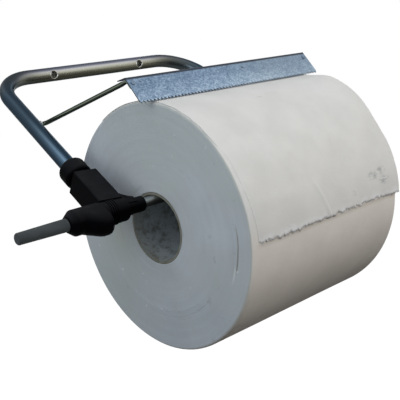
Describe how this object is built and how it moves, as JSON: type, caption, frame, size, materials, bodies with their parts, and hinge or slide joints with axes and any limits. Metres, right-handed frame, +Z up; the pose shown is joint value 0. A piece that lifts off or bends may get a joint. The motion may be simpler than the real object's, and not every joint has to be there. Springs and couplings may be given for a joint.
{
  "type": "paper towel holder",
  "caption": "Wall-mounted tube-frame holder for a wide paper roll, with plastic spindle joints, a pull-out spindle and a hinged toothed tear bar resting on the roll.",
  "frame": {"origin": "on the wall, midway between the two screw holes, at the height of the tube's bar", "axes": "+X along the spindle towards its plain end, +Z up, and the holder stands out from the wall towards -Y"},
  "size_m": [0.5035, 0.3713, 0.2902],
  "materials": {
    "steel_tube": "bright nickel-like plating over bent steel tube",
    "black_plastic": "satin black moulded plastic",
    "grey_grip": "dull dark grey moulded plastic",
    "white_nylon": "matt off-white nylon",
    "black_rubber": "matt black rubber",
    "zinc_rod": "bright drawn steel with a fine grain",
    "galvanised_sheet": "zinc-coated sheet with a mottled bluish grain",
    "dark_steel": "dark oiled steel",
    "core_card": "rough brown card",
    "tissue": "soft matt recycled tissue, pale grey, wound in layers"
  },
  "bodies": {
    "frame": {"frame_tube": "steel_tube", "left_joint": "black_plastic", "right_joint": "black_plastic", "left_tube_collar": "black_plastic", "right_tube_collar": "black_plastic", "left_barrel_cap": "black_plastic", "right_barrel_cap": "black_plastic", "left_nose_bush": "black_plastic", "right_nose_bush": "black_plastic", "left_friction_ring": "black_rubber", "right_friction_ring": "black_rubber", "lock_screws": "dark_steel", "left_pivot_bush": "white_nylon", "right_pivot_bush": "white_nylon"},
    "tear_bar": {"tear_plate": "galvanised_sheet", "plate_rivets": "zinc_rod", "left_bail_arm": "zinc_rod", "right_bail_arm": "zinc_rod"},
    "spindle": {"spindle_rod": "zinc_rod", "spindle_grip": "grey_grip"},
    "roll": {"roll_core": "core_card", "paper_roll": "tissue", "paper_tail": "tissue"}
  },
  "joints": [
    {"name": "tear_bar_hinge", "type": "hinge", "parent": "frame", "child": "tear_bar", "pos_m": [0, -0.09671, -0.04642], "axis": [-1, 0, 0], "range_deg": [0, 80]},
    {"name": "spindle_slide", "type": "slide", "parent": "frame", "child": "spindle", "axis": [-1, 0, 0], "range_m": [0, 0.348]},
    {"name": "roll_turn", "type": "hinge", "parent": "frame", "child": "roll", "pos_m": [0, -0.2413, -0.1522], "axis": [1, 0, 0], "continuous": true}
  ]
}
